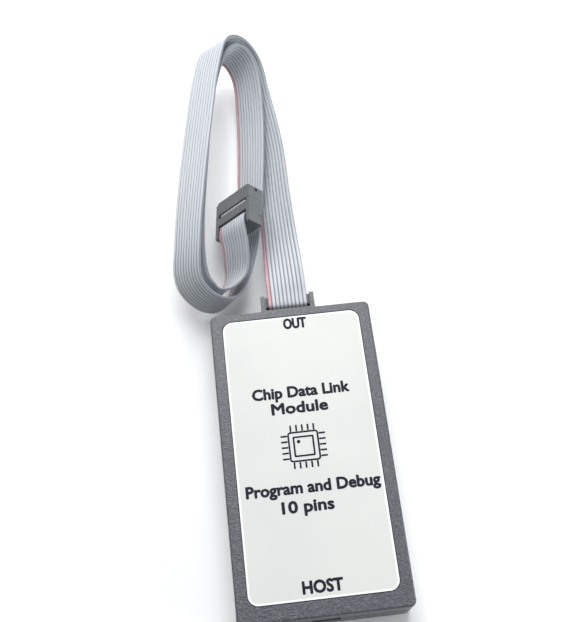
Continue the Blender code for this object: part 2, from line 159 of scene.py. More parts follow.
def new_tree(name, **inputs):
    """A tree with a geometry input, the named inputs and a geometry output."""
    tree = bpy.data.node_groups.new(name, "GeometryNodeTree")
    tree.interface.new_socket("Geometry", in_out="INPUT", socket_type=SOCKETS["geometry"])
    for label, kind in inputs.items():
        tree.interface.new_socket(label, in_out="INPUT", socket_type=SOCKETS[kind])
    tree.interface.new_socket("Geometry", in_out="OUTPUT", socket_type=SOCKETS["geometry"])
    return tree, tree.nodes.new("NodeGroupInput"), tree.nodes.new("NodeGroupOutput")


def add(tree, kind, inputs=(), **settings):
    """A node with its settings, and each input either linked or given its value."""
    made = tree.nodes.new(kind)
    for setting, value in settings.items():
        setattr(made, setting, value)
    for key, value in dict(inputs).items():
        if isinstance(value, bpy.types.NodeSocket):
            tree.links.new(value, made.inputs[key])
        else:
            made.inputs[key].default_value = value
    return made


def calc(tree, operation, *values):
    """One step of arithmetic on sockets and numbers."""
    return add(tree, "ShaderNodeMath", dict(enumerate(values)), operation=operation).outputs[0]


def finish_tree(tree, out, geometry, material):
    """Every tree ends the same way: real geometry, with its material set."""
    real = add(tree, "GeometryNodeRealizeInstances", {"Geometry": geometry}).outputs[0]
    done = add(tree, "GeometryNodeSetMaterial", {"Geometry": real, "Material": material}).outputs[0]
    tree.links.new(done, out.inputs[0])


def bake(name, mesh, tree, **values):
    """Runs the tree on the mesh, and returns one plain object with the result."""
    host = put(name + "_host", mesh)
    recipe = host.modifiers.new("recipe", "NODES")
    recipe.node_group = tree
    for socket in tree.interface.items_tree:
        if socket.in_out == "INPUT" and socket.name in values:
            recipe[socket.identifier] = values[socket.name]
    evaluated = host.evaluated_get(bpy.context.evaluated_depsgraph_get())
    result = bpy.data.meshes.new_from_object(evaluated)
    bpy.data.objects.remove(host)
    print(name, "has", sum(len(p.vertices) - 2 for p in result.polygons), "triangles")
    return put(name, result)


# %% [markdown]
# ## Helpers for finishes
# Every finish is a Principled shader fed by patterns. Patterns read Object coordinates, which are metres from the
# box's centre, so a scale of 2000 means grains half a millimetre apart.

# %% Start a finish and its patterns
def new_finish(name, roughness, metallic=0.0, **sockets):
    """A material, its node tree and its shader."""
    material = bpy.data.materials.new(name)
    material.use_nodes = True
    tree = material.node_tree
    shader = tree.nodes["Principled BSDF"]
    shader.inputs["Roughness"].default_value = roughness
    shader.inputs["Metallic"].default_value = metallic
    for socket, value in sockets.items():
        shader.inputs[socket.replace("_", " ")].default_value = value
    return material, tree, shader


def place(tree, stretch=(1, 1, 1), centre=(0, 0, 0)):
    """Object coordinates, centred on a point in metres and stretched."""
    coordinates = add(tree, "ShaderNodeTexCoord").outputs["Object"]
    return add(tree, "ShaderNodeMapping", {"Vector": coordinates, "Location": [-c for c in centre],
                                           "Scale": stretch}).outputs[0]


def noise(tree, scale, detail=3.0, where=None):
    """Soft random variation from 0 to 1."""
    where = where or place(tree)
    return add(tree, "ShaderNodeTexNoise", {"Vector": where, "Scale": scale, "Detail": detail}).outputs[0]


def ramp(tree, value, low, high, start=0.0, end=1.0):
    """Turns a value from start to end into a colour from low to high."""
    made = add(tree, "ShaderNodeValToRGB", {"Fac": value})
    for stop, colour, position in zip(made.color_ramp.elements, (low, high), (start, end)):
        stop.color, stop.position = (*colour, 1), position
    return made.outputs[0]


def mix(tree, factor, low, high):
    """Mixes two colours, each a socket or three numbers."""
    fixed = [v if isinstance(v, bpy.types.NodeSocket) else (*v, 1) for v in (low, high)]
    return add(tree, "ShaderNodeMix", {0: factor, 6: fixed[0], 7: fixed[1]}, data_type="RGBA").outputs[2]


def relief(tree, shader, height, depth):
    """Small relief of that depth in metres, from a height of 0 to 1."""
    made = add(tree, "ShaderNodeBump", {"Height": height, "Distance": depth, "Strength": 1.0})
    tree.links.new(made.outputs[0], shader.inputs["Normal"])


def use(tree, shader, **links):
    """Feeds the shader's sockets."""
    for socket, value in links.items():
        tree.links.new(value, shader.inputs[socket.replace("_", " ")])


def spread(tree, value, low, high):
    """Spreads a value from 0 to 1 over low to high, for roughness."""
    return add(tree, "ShaderNodeMapRange", {"Value": value, "To Min": low, "To Max": high}).outputs[0]


# %% [markdown]
# ## The ribbon's plastic
# Ten wires lie side by side in cool grey PVC. A dusty red stripe is printed on one face of the first wire, to mark
# pin 1, so it is lost from view wherever the ribbon shows its other face. The mesh keeps how far across a point is
# in wires, how far along in metres, and which face it is on, so the finish follows every twist. The web between the
# wires is thinner, painted shade darkens the grooves between the ribs, and faint marks run along as the extruder
# left them.

# %% Finish: ribbon
PITCH = 1.27 * MM                                  # from one wire to the next
# The grooves between the ribs get painted shade: where it starts and ends from a wire's middle, and how strong it
# is.
GROOVE_FROM, GROOVE_TO, GROOVE_SHADE = 0.26, 0.46, 0.85      # from a wire's middle, in wires, and how dark
STRIPE_SIDE, CLEAR_END = -0.6, 0.4 * MM            # the stripe keeps to one face, and off the cut ends
RIBBON_LENGTH = float(run[-1])


def ribbon_finish():
    """Grey wires with painted shade in the grooves between them, and a red stripe on the first."""
    material, tree, shader = new_finish("ribbon_grey", 0.42, Specular_IOR_Level=0.45)
    wire = add(tree, "ShaderNodeAttribute", attribute_name="across").outputs["Fac"]
    length = add(tree, "ShaderNodeAttribute", attribute_name="along").outputs["Fac"]
    flat = add(tree, "ShaderNodeCombineXYZ", {"X": calc(tree, "MULTIPLY", wire, PITCH), "Y": length}).outputs[0]
    from_middle = calc(tree, "ABSOLUTE", calc(tree, "SUBTRACT", calc(tree, "FRACT", wire), 0.5))
    streaks = add(tree, "ShaderNodeMapping", {"Vector": flat, "Scale": (1, 0.02, 1)}).outputs[0]
    streaks = noise(tree, 2500.0, 2.0, streaks)
    grey = ramp(tree, streaks, (0.41, 0.44, 0.47), (0.50, 0.53, 0.56), 0.3, 0.7)
    red = ramp(tree, noise(tree, 900.0, 3.0, flat), (0.44, 0.21, 0.235), (0.56, 0.31, 0.335), 0.3, 0.7)
    side = add(tree, "ShaderNodeAttribute", attribute_name="side").outputs["Fac"]
    printed = calc(tree, "GREATER_THAN", side, STRIPE_SIDE)
    not_cut = calc(tree, "COMPARE", length, RIBBON_LENGTH / 2, RIBBON_LENGTH / 2 - CLEAR_END)
    marked = calc(tree, "MULTIPLY", calc(tree, "LESS_THAN", wire, 1.0), calc(tree, "MULTIPLY", printed, not_cut))
    colour = mix(tree, marked, grey, red)
    # Painted shade: the grooves between the ribs are mixed towards a dark blue-grey.
    groove_shade = add(tree, "ShaderNodeMapRange", {
        "Value": from_middle, "From Min": GROOVE_FROM, "From Max": GROOVE_TO, "To Max": GROOVE_SHADE}).outputs[0]
    use(tree, shader, Base_Color=mix(tree, groove_shade, colour, (0.15, 0.165, 0.20)),
        Roughness=spread(tree, noise(tree, 700.0, 3.0, flat), 0.34, 0.52))
    relief(tree, shader, noise(tree, 5000.0, 2.0, flat), 0.00001)
    return material


ribbon_grey = ribbon_finish()
print("made", ribbon_grey.name)

# %% [markdown]
# ## The ribbon
# First a thin flat strip is swept along the frames in mesh code: that is the web. Then a Geometry Nodes tree
# swells it into ribs: at each point it finds how far it is from its wire's middle and moves it out of the face by
# that much. The number of wires and the ribs' thickness stay as inputs.

# %% Sweep the web
WIRES = 10
RIB_THICK, WEB_THICK = 0.9 * MM, 0.34 * MM
FRACTIONS = (0.0, 0.05, 0.16, 0.36, 0.64, 0.84, 0.95)       # where the strip is cut across each wire
stations = [w + f for w in range(WIRES) for f in FRACTIONS] + [WIRES]
ribbon_width = WIRES * PITCH


def web_strip():
    """The flat strip, with where each point is across and along, and which way its face looks."""
    loop = [(s, -1) for s in stations] + [(s, 1) for s in reversed(stations)]
    count, half = len(loop), len(stations)
    offset = np.array([(s * PITCH - ribbon_width / 2, side * WEB_THICK / 2) for s, side in loop])
    points = (centre[:, None] + across[:, None] * offset[None, :, :1]
              + outward[:, None] * offset[None, :, 1:]).reshape(-1, 3)
    faces = [(r * count + i, (r + 1) * count + i, (r + 1) * count + (i + 1) % count, r * count + (i + 1) % count)
             for r in range(len(centre) - 1) for i in range(count)]
    last = (len(centre) - 1) * count
    for i in range(half - 1):
        cap = (i, i + 1, count - 2 - i, count - 1 - i)
        faces += [cap, tuple(last + v for v in reversed(cap))]
    mesh = bpy.data.meshes.new("web_strip")
    mesh.from_pydata(points.tolist(), [], faces)
    for label, values in (("across", np.tile([s for s, _ in loop], len(centre))),
                          ("along", np.repeat(run, count)), ("side", np.tile([d for _, d in loop], len(centre)))):
        mesh.attributes.new(label, "FLOAT", "POINT").data.foreach_set("value", values.astype(np.float32))
    face = mesh.attributes.new("face_way", "FLOAT_VECTOR", "POINT")
    face.data.foreach_set("vector", np.repeat(outward, count, axis=0).astype(np.float32).ravel())
    mesh.polygons.foreach_set("use_smooth", [True] * len(mesh.polygons))
    return mesh


strip = web_strip()
print("web strip:", len(strip.vertices), "points")

# %% Swell the strip into ribs
def rib_tree():
    tree, start, out = new_tree("ribs_on_ribbon", **{"Rib Thickness": "number", "Web Thickness": "number"})

    def named(label, kind="FLOAT"):
        return add(tree, "GeometryNodeInputNamedAttribute", {"Name": label}, data_type=kind).outputs["Attribute"]

    middle = calc(tree, "SUBTRACT", calc(tree, "FRACT", named("across")), 0.5)
    from_middle = calc(tree, "MULTIPLY", calc(tree, "ABSOLUTE", middle), 2.0)
    swell = calc(tree, "SQRT", calc(tree, "SUBTRACT", 1.0, calc(tree, "POWER", from_middle, 3.0)))
    room = calc(tree, "SUBTRACT", start.outputs["Rib Thickness"], start.outputs["Web Thickness"])
    height = calc(tree, "MULTIPLY", calc(tree, "MULTIPLY", swell, calc(tree, "MULTIPLY", room, 0.5)), named("side"))
    move = add(tree, "ShaderNodeVectorMath", {0: named("face_way", "FLOAT_VECTOR"), "Scale": height},
               operation="SCALE").outputs[0]
    moved = add(tree, "GeometryNodeSetPosition", {"Geometry": start.outputs[0], "Offset": move}).outputs[0]
    finish_tree(tree, out, moved, ribbon_grey)
    return tree


ribbon = bake("ribbon", strip, rib_tree(), **{"Rib Thickness": RIB_THICK, "Web Thickness": WEB_THICK})
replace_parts(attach(ribbon, "cable"), "ribbon_cable")
print("ribbon rides on the cable")

# %% [markdown]
# ## Plug plastic
# The plugs are moulded in mid-grey, glass-filled plastic. It is matt, with fine speckle where the fibres reach
# the surface, and a little lighter where handling has polished it.

# %% Finish: plugs and header
def moulded_finish(name, dark, light, grain, roughness, depth):
    material, tree, shader = new_finish(name, roughness)
    cloud = noise(tree, 120.0, 4.0)
    speck = noise(tree, grain, 2.0)
    colour = mix(tree, spread(tree, speck, 0.0, 0.5), ramp(tree, cloud, dark, light, 0.3, 0.7), light)
    use(tree, shader, Base_Color=colour, Roughness=spread(tree, cloud, roughness - 0.06, roughness + 0.08))
    relief(tree, shader, speck, depth)
    return material


plug_grey = moulded_finish("plug_grey", (0.086, 0.095, 0.099), (0.114, 0.124, 0.128), 5000.0, 0.5, 0.00002)
header_black = moulded_finish("header_black", (0.018, 0.018, 0.02), (0.035, 0.035, 0.038), 4000.0, 0.45, 0.00002)
print("made", plug_grey.name, "and", header_black.name)

# %% [markdown]
# ## Softened edges on the plugs and the header
# CAD edges are perfectly sharp, and real moulded edges catch a thin line of light. A CAD mesh may not be changed,
# so each moulding is copied, its loose triangles are merged back into whole faces, and only the real corners get a
# narrow bevel. The copy then stands for the CAD piece. The pieces of a plug snap together, so the copies also take
# up most of the clearance that the CAD keeps between them: each move shifts one flat level in the plug's own frame.

# %% Copy the mouldings with softened edges
SOFT_EDGE = 0.13 * MM
SAME_LEVEL, SAME_POINT = 0.02 * MM, 0.002 * MM
FLAT_ANGLE, CORNER_ANGLE = math.radians(1), math.radians(40)


def mesh_from(name, bm):
    """The working mesh as a plain one."""
    mesh = bpy.data.meshes.new(name)
    bm.to_mesh(mesh)
    bm.free()
    return mesh


def in_metres(stand):
    """A plug's frame with its place in metres."""
    moved = stand.copy()
    moved.translation *= MM
    return moved


def softened(name, source, material, body, stand=None, moves=()):
    """A copy of a CAD piece with narrow bevels on its corners, and some of its levels moved first."""
    bm = bmesh.new()
    bm.from_mesh(NODES[source].data)
    for vert in bm.verts if moves else ():
        spot = stand.inverted() @ vert.co
        for axis, old, new in moves:
            if abs(spot[axis] - old * MM) < SAME_LEVEL:
                spot[axis] = new * MM
        vert.co = stand @ spot
    bmesh.ops.remove_doubles(bm, verts=bm.verts, dist=SAME_POINT)
    bmesh.ops.dissolve_limit(bm, angle_limit=FLAT_ANGLE, verts=bm.verts, edges=bm.edges)
    corners = [e for e in bm.edges if e.is_manifold and e.calc_face_angle(0) > CORNER_ANGLE]
    bmesh.ops.bevel(bm, geom=corners, offset=SOFT_EDGE, segments=2, profile=0.6, affect="EDGES", clamp_overlap=True)
    made = put(name, mesh_from(name, bm))
    made.data.materials.append(material)
    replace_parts(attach(made, body), source)
    return made


SNUG = {"housing": (), "cover": ((1, 5.05, 5.29), (1, -0.45, -0.6)),          # axis, level and new level in mm
        "clamp": ((1, 2.0, 2.33), (1, -0.75, -0.66), (2, 1.2, 1.43), (2, -1.2, -1.43))}
for word, prefix, plug in (("case_plug", "plug", CASE_PLUG), ("end_plug", "free", END_PLUG)):
    for part, source in (("housing", "body"), ("cover", "cover"), ("clamp", "strain_relief")):
        softened(f"{word}_{part}", f"{prefix}_{source}", plug_grey, "cable",
                                 in_metres(plug_frame(*plug)), SNUG[part])
softened("header_shroud", "io_header_shroud", header_black, "box")

# %% [markdown]
# ## Metal
# Gold flash on contacts and pins is warm and nearly smooth, with thin spots. Tin-plated steel is paler and has a
# drawn grain in one direction.

# %% Finish: gold, tin and steel
def metal_finish(name, dark, light, roughness, stretch, scale):
    material, tree, shader = new_finish(name, roughness, metallic=1.0)
    grain = noise(tree, scale, 3.0, place(tree, stretch))
    worn = noise(tree, 300.0, 3.0)
    colour = mix(tree, worn, ramp(tree, grain, dark, light, 0.25, 0.75), light)
    use(tree, shader, Base_Color=colour, Roughness=spread(tree, grain, roughness - 0.08, roughness + 0.12))
    relief(tree, shader, grain, 0.000006)
    return material


contact_gold = metal_finish("contact_gold", (0.68, 0.47, 0.17), (0.90, 0.70, 0.34), 0.26, (1, 0.1, 1), 4000.0)
tinned_copper = metal_finish("tinned_copper", (0.50, 0.48, 0.45), (0.74, 0.72, 0.69), 0.34, (1, 1, 1), 6000.0)
socket_steel = metal_finish("socket_steel", (0.52, 0.52, 0.54), (0.76, 0.76, 0.78), 0.28, (1, 0.06, 1), 3000.0)
screw_steel = metal_finish("screw_steel", (0.38, 0.38, 0.40), (0.60, 0.60, 0.62), 0.36, (1, 1, 0.1), 3000.0)
solder_tin = metal_finish("solder_tin", (0.58, 0.58, 0.58), (0.80, 0.80, 0.79), 0.30, (1, 1, 1), 1500.0)
print("made five metals")

# %% [markdown]
# ## Rows of small parts
# Contacts, wire ends and solder joints all come in rows at an even pitch. One small shape is modelled, and a tree
# repeats it on a grid. Each row is then set down with one matrix, which is written into the mesh.

# %% A tree that lays copies on a grid
def row_tree(name, material):
    tree, start, out = new_tree(name, **{"Count X": "count", "Count Y": "count",
                                         "Pitch X": "number", "Pitch Y": "number"})
    pitch = {}
    for axis in "XY":
        steps = calc(tree, "SUBTRACT", start.outputs[f"Count {axis}"], 1.0)
        pitch[axis] = calc(tree, "MULTIPLY", steps, start.outputs[f"Pitch {axis}"])
    grid = add(tree, "GeometryNodeMeshGrid", {
        "Size X": pitch["X"], "Size Y": pitch["Y"], "Vertices X": start.outputs["Count X"],
        "Vertices Y": start.outputs["Count Y"]}).outputs["Mesh"]
    copies = add(tree, "GeometryNodeInstanceOnPoints", {"Points": grid, "Instance": start.outputs[0]}).outputs[0]
    finish_tree(tree, out, copies, material)
    return tree


def lay_rows(name, shape, material, body, matrix, count, pitch):
    """A grid of the shape, laid in the matrix's X and Y and moved to its place."""
    values = {"Count X": count[0], "Count Y": count[1], "Pitch X": pitch[0], "Pitch Y": pitch[1]}
    made = bake(name, shape, row_tree(name + "_rows", material), **values)
    made.data.transform(matrix)
    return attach(made, body)


def lofted(name, rings, smooth=True):
    """A closed solid through rings of points, with flat ends."""
    bm = bmesh.new()
    loops = [[bm.verts.new(p) for p in ring] for ring in rings]
    for low, high in zip(loops, loops[1:]):
        for i in range(len(low)):
            bm.faces.new((low[i], low[(i + 1) % len(low)], high[(i + 1) % len(low)], high[i]))
    bm.faces.new(loops[0][::-1])
    bm.faces.new(loops[-1])
    bmesh.ops.recalc_face_normals(bm, faces=bm.faces)
    for face in bm.faces:
        face.smooth = smooth and len(face.verts) == 4
    return mesh_from(name, bm)


def joined(name, meshes):
    """Several meshes as one."""
    bm = bmesh.new()
    for mesh in meshes:
        bm.from_mesh(mesh)
    return mesh_from(name, bm)


print("row helpers ready")

# %% [markdown]
# ## Contacts inside the plugs
# Each hole in a plug holds two bowed gold leaves that grip a square pin. They stop short of the pin here, so the
# plug can slide off without anything touching.

# %% Grip leaves
LEAF_Y = (-2.0, -1.0, 0.0, 1.0, 1.8)                    # along the hole, from its middle, in mm
LEAF_GAP = (0.47, 0.42, 0.375, 0.42, 0.50)              # from the hole's middle, in mm
LEAF_THICK, LEAF_HALF_WIDTH, HOLE_MIDDLE, PIN_PITCH = 0.1, 0.26, 8.4, 2.54 * MM


def grip_leaves():
    """Two bowed leaves, with the pin's way along their Z."""
    sides = []
    for side in (-1, 1):
        rings = [[Vector((side * (gap + t), w, y)) * MM for t, w in
                  ((0, -LEAF_HALF_WIDTH), (LEAF_THICK, -LEAF_HALF_WIDTH), (LEAF_THICK, LEAF_HALF_WIDTH),
                   (0, LEAF_HALF_WIDTH))] for y, gap in zip(LEAF_Y, LEAF_GAP)]
        sides.append(lofted("leaf", rings, smooth=False))
    return joined("grip_leaves", sides)


leaves = grip_leaves()
FACE_ALONG_Y = Matrix(((1, 0, 0, 0), (0, 0, 1, 0), (0, -1, 0, 0), (0, 0, 0, 1)))   # turns Z to Y


for word, plug in (("case_plug", CASE_PLUG), ("end_plug", END_PLUG)):
    stand = in_metres(plug_frame(*plug)) @ Matrix.Translation((0, HOLE_MIDDLE * MM, 0)) @ FACE_ALONG_Y
    lay_rows(f"{word}_contacts", leaves, contact_gold, "cable", stand,
                             (5, 2), (PIN_PITCH, PIN_PITCH))

# %% [markdown]
# ## Cut wire ends
# Where the ribbon is cut off in a plug, seven fine tinned strands show in the middle of each wire.

# %% Strands at both ends of the ribbon
STRAND_R, STRAND_GAP, STRAND_IN, STRAND_OUT = 0.062, 0.13, 0.3, 0.04          # in mm


def strand_bunch():
    """Seven short strands, one in the middle and six round it."""
    strands = []
    for k in range(7):
        turn = math.radians(60 * k)
        x, y = (0, 0) if k == 6 else (STRAND_GAP * math.cos(turn), STRAND_GAP * math.sin(turn))
        rings = [[Vector((x + r * math.cos(math.radians(45 * i)), y + r * math.sin(math.radians(45 * i)), z)) * MM
                  for i in range(8)] for z, r in ((-STRAND_IN, STRAND_R), (STRAND_OUT * 0.6, STRAND_R),
                                                  (STRAND_OUT, STRAND_R * 0.7))]
        strands.append(lofted("strand", rings))
    return joined("strand_bunch", strands)


bunch = strand_bunch()
for word, i, way in (("case_end", 0, -1), ("free_end", -1, 1)):
    x, z = Vector(across[i]), Vector(along[i]) * way
    stand = Matrix((x, z.cross(x), z)).transposed().to_4x4()
    stand.translation = Vector(centre[i])
    lay_rows(f"wire_cores_{word}", bunch, tinned_copper, "cable", stand,
                             (WIRES, 1), (PITCH, 0))

# %% [markdown]
# The ribbon is seen from end to end, so its length is the length that shows. It leaves the box at the
# header's mouth and ends in the free plug.

# %% [markdown]
# ## The case plastic
# The two shells are moulded in slate-grey ABS with a fine spark-eroded texture. A rounded cell pattern makes the
# grains, with painted shade darkening their pits, finer noise makes the lighter mottling, and a slow cloud varies
# both. The grains' tops are polished a little, so the far end catches a sheen.

# %% Finish: case
def case_finish():
    """Painted shade in the pits, lighter mottling and a shallow relief."""
    material, tree, shader = new_finish("case_grey", 0.6)
    grains = add(tree, "ShaderNodeTexVoronoi", {"Vector": place(tree), "Scale": 2000.0,
                                                "Randomness": 1.0}).outputs["Distance"]
    cloud, mottle = noise(tree, 45.0, 4.0), noise(tree, 1700.0, 3.0)
    base = ramp(tree, cloud, (0.050, 0.055, 0.070), (0.070, 0.076, 0.092), 0.3, 0.7)
    lighter = ramp(tree, mottle, (0, 0, 0), (0.65, 0.65, 0.65), 0.4, 0.66)
    colour = mix(tree, lighter, base, (0.145, 0.157, 0.18))
    # Painted shade: the grains' pits, the low points of the relief below, are darkened towards near black.
    colour = mix(tree, spread(tree, grains, 0.7, 0.0), colour, (0.03, 0.031, 0.036))
    use(tree, shader, Base_Color=colour, Roughness=spread(tree, mottle, 0.30, 0.48))
    relief(tree, shader, calc(tree, "ADD", grains, calc(tree, "MULTIPLY", mottle, 0.7)), 0.00006)
    return material


case_grey = case_finish()


def dress(material, *names):
    """Gives CAD pieces their finish. Their shape stays as it is."""
    for name in names:
        for part in NODES[name].material_slots:
            part.material = material
    print(material.name, "on", len(names), "pieces")


dress(case_grey, "bottom_shell", "top_shell")

# %% [markdown]
# ## The label
# The label is a satin film, printed off-white, with a thin painted highlight that follows its rounded outline. The
# highlight is found with a rounded-rectangle distance: how far a point is outside the inner rectangle, less the
# radius.

# %% Finish: label
LABEL_LOW, LABEL_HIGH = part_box("top_label")
# The width and softness of the painted highlight round the label's edge.
LABEL_RADIUS, EDGE_HIGHLIGHT, EDGE_HIGHLIGHT_BLUR = 3.0 * MM, 0.55 * MM, 0.1 * MM


def label_finish():
    """Off-white film inside a painted highlight along its edge."""
    material, tree, shader = new_finish("label_film", 0.5, Specular_IOR_Level=0.28)
    middle = (LABEL_LOW + LABEL_HIGH) / 2
    half = (LABEL_HIGH - LABEL_LOW) / 2
    spot = add(tree, "ShaderNodeSeparateXYZ", {"Vector": place(tree, centre=middle)})
    beyond = [calc(tree, "MAXIMUM", 0.0, calc(tree, "SUBTRACT", calc(tree, "ABSOLUTE", spot.outputs[i]),
                                              half[i] - LABEL_RADIUS)) for i in (0, 1)]
    squares = [calc(tree, "MULTIPLY", b, b) for b in beyond]
    distance = calc(tree, "SUBTRACT", calc(tree, "SQRT", calc(tree, "ADD", *squares)), LABEL_RADIUS - EDGE_HIGHLIGHT)
    edge_highlight = add(tree, "ShaderNodeMapRange", {"Value": distance, "From Min": -EDGE_HIGHLIGHT_BLUR,
                                           "From Max": EDGE_HIGHLIGHT_BLUR}).outputs[0]
    film = ramp(tree, noise(tree, 35.0, 3.0), (0.55, 0.57, 0.555), (0.60, 0.61, 0.59), 0.3, 0.7)
    fleck = noise(tree, 4200.0, 2.0)
    film = mix(tree, spread(tree, fleck, 0.0, 0.12), film, (0.48, 0.50, 0.50))
    # Painted highlight: the band along the edge is mixed towards near white.
    use(tree, shader, Base_Color=mix(tree, edge_highlight, film, (0.78, 0.79, 0.80)),
        Roughness=spread(tree, noise(tree, 260.0, 4.0), 0.42, 0.58))
    relief(tree, shader, fleck, 0.000008)
    return material


dress(label_finish(), "top_label")

# %% [markdown]
# ## What the label says
# The print is dark navy and bold: plain port marks at both ends, a chip pictogram in the middle, and general
# words above and below it. Each line is a text object turned into a mesh and fitted to a width and a capital
# height. To make it bold, copies of the line are laid in a small ring, each a hair above the last.

# %% Finish: ink
def ink_finish():
    material, tree, shader = new_finish("navy_ink", 0.6, Specular_IOR_Level=0.2)
    dots = noise(tree, 3500.0, 2.0)
    use(tree, shader, Base_Color=ramp(tree, dots, (0.004, 0.004, 0.012), (0.012, 0.013, 0.028), 0.35, 0.7),
        Roughness=spread(tree, dots, 0.55, 0.7))
    relief(tree, shader, dots, 0.000005)
    return material


navy_ink = ink_finish()
print("made", navy_ink.name)

# %% Lines of print
INK_LOW, INK_HIGH = LABEL_HIGH.z - 0.01 * MM, LABEL_HIGH.z + 0.025 * MM
CAPITAL = 3.7 * MM
BOLD = 0.20 * MM                                         # how far the copies of a line are spread to embolden it
COPIES, LAYER = 8, 0.002 * MM
PRINT = [("OUT", 7.4, 1.2, 42.1), ("Chip Data Link", 30.0, 0.4, 19.5), ("Module", 17.4, -0.5, 14.4),
         ("Program and Debug", 40.0, 0.6, -10.2), ("10 pins", 15.5, -1.6, -15.8), ("HOST", 11.8, -0.2, -38.8)]


def text_mesh(words):
    """Text as a closed mesh one unit thick."""
    curve = bpy.data.curves.new("words", "FONT")
    curve.body, curve.extrude, curve.resolution_u = words, 0.5, 3
    holder = put("words", curve)
    mesh = bpy.data.meshes.new_from_object(holder.evaluated_get(bpy.context.evaluated_depsgraph_get()))
    bpy.data.objects.remove(holder)
    return mesh


def span(mesh, axis):
    """The mesh's lowest and highest value on one axis."""
    values = [v.co[axis] for v in mesh.vertices]
    return min(values), max(values)


capital_low, capital_high = span(text_mesh("H"), 1)
letters = []
for words, wide, x, y in PRINT:
    mesh = text_mesh(words)
    left, right = span(mesh, 0)
    size = Vector(((wide * MM - 2 * BOLD) / (right - left), (CAPITAL - 2 * BOLD) / (capital_high - capital_low),
                   INK_HIGH - INK_LOW))
    middle = Vector(((left + right) / 2, (capital_low + capital_high) / 2, 0))
    for k in range(COPIES):
        turn = math.tau * k / COPIES
        shift = Vector((x * MM + BOLD * math.cos(turn), y * MM + BOLD * math.sin(turn),
                        (INK_LOW + INK_HIGH) / 2 + k * LAYER))
        copy = mesh.copy()
        copy.transform(Matrix.Translation(shift) @ Matrix.Diagonal((*size, 1)) @ Matrix.Translation(-middle))
        letters.append(copy)
print("lines of print:", len(PRINT), "in", len(letters), "layers")

# %% [markdown]
# ## The chip pictogram
# A rounded square with five short legs on each side stands for a chip, with a dot at pin 1 and a smaller square
# inside. Line art like this is a frame between two outlines, and the legs are again copies on a grid.

# %% Draw the pictogram
ICON_X, ICON_Y, ICON_HALF, LINE = -0.6, 2.1, 4.7, 0.55


def outline(x, y, half_x, half_y, radius, steps=6):
    """A rounded rectangle as points in mm."""
    corners = ((half_x, half_y, 0), (-half_x, half_y, 90), (-half_x, -half_y, 180), (half_x, -half_y, 270))
    return [(x + cx - math.copysign(radius, cx) + radius * math.cos(math.radians(start + 90 * k / steps)),
             y + cy - math.copysign(radius, cy) + radius * math.sin(math.radians(start + 90 * k / steps)))
            for cx, cy, start in corners for k in range(steps + 1)]


def inked(rings):
    """A flat inked shape: one outline filled, or the frame between two outlines."""
    bm = bmesh.new()
    layers = [[[bm.verts.new((px * MM, py * MM, z)) for px, py in ring] for ring in rings]
              for z in (INK_LOW, INK_HIGH)]
    count = len(rings[0])
    for low, high in zip(*layers):
        for i in range(count):
            bm.faces.new((low[i], low[(i + 1) % count], high[(i + 1) % count], high[i]))
    for layer in layers:
        if len(layer) == 1:
            bm.faces.new(layer[0])
        else:
            for i in range(count):
                bm.faces.new((layer[0][i], layer[0][(i + 1) % count], layer[1][(i + 1) % count], layer[1][i]))
    bmesh.ops.recalc_face_normals(bm, faces=bm.faces)
    return mesh_from("inked", bm)


def line_square(half, radius):
    """A line of even width round a rounded square."""
    return inked([outline(ICON_X, ICON_Y, half, half, radius),
                  outline(ICON_X, ICON_Y, half - LINE, half - LINE, max(radius - LINE, 0.1))])


icon = [line_square(ICON_HALF, 1.0), line_square(ICON_HALF - 1.5, 0.4),
        inked([outline(ICON_X - 1.5, ICON_Y + 1.5, 0.55, 0.55, 0.54)])]
leg = inked([outline(0, 0, LINE / 2, 1.0, 0.2)])
LEG_PITCH, LEG_ROWS = 1.75 * MM, (2 * ICON_HALF + 2.1) * MM
for turn in (0, 90):
    legs = bake(f"icon_legs_{turn}", leg, row_tree(f"legs_{turn}", navy_ink),
                **{"Count X": 5, "Count Y": 2, "Pitch X": LEG_PITCH, "Pitch Y": LEG_ROWS})
    place_legs = Matrix.Translation((ICON_X * MM, ICON_Y * MM, 0)) @ Matrix.Rotation(math.radians(turn), 4, "Z")
    legs.data.transform(place_legs)
    icon.append(legs.data)
    bpy.data.objects.remove(legs)

print_mesh = joined("label_printing", letters + icon)
print_mesh.materials.clear()
print_mesh.materials.append(navy_ink)
for face in print_mesh.polygons:
    face.material_index = 0
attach(put("label_printing", print_mesh), "box")
print("printing:", len(print_mesh.polygons), "faces")

# %% [markdown]
# ## The board and its parts
# Inside, the green board shows its copper tracks as slightly raised, lighter lines under the solder mask. Tracks
# run one way in some patches and the other way in others, so two band patterns are chosen between by a slow noise.

# %% Finish: board
TRACK_SCALE, PATCH_SCALE = 210.0, 95.0


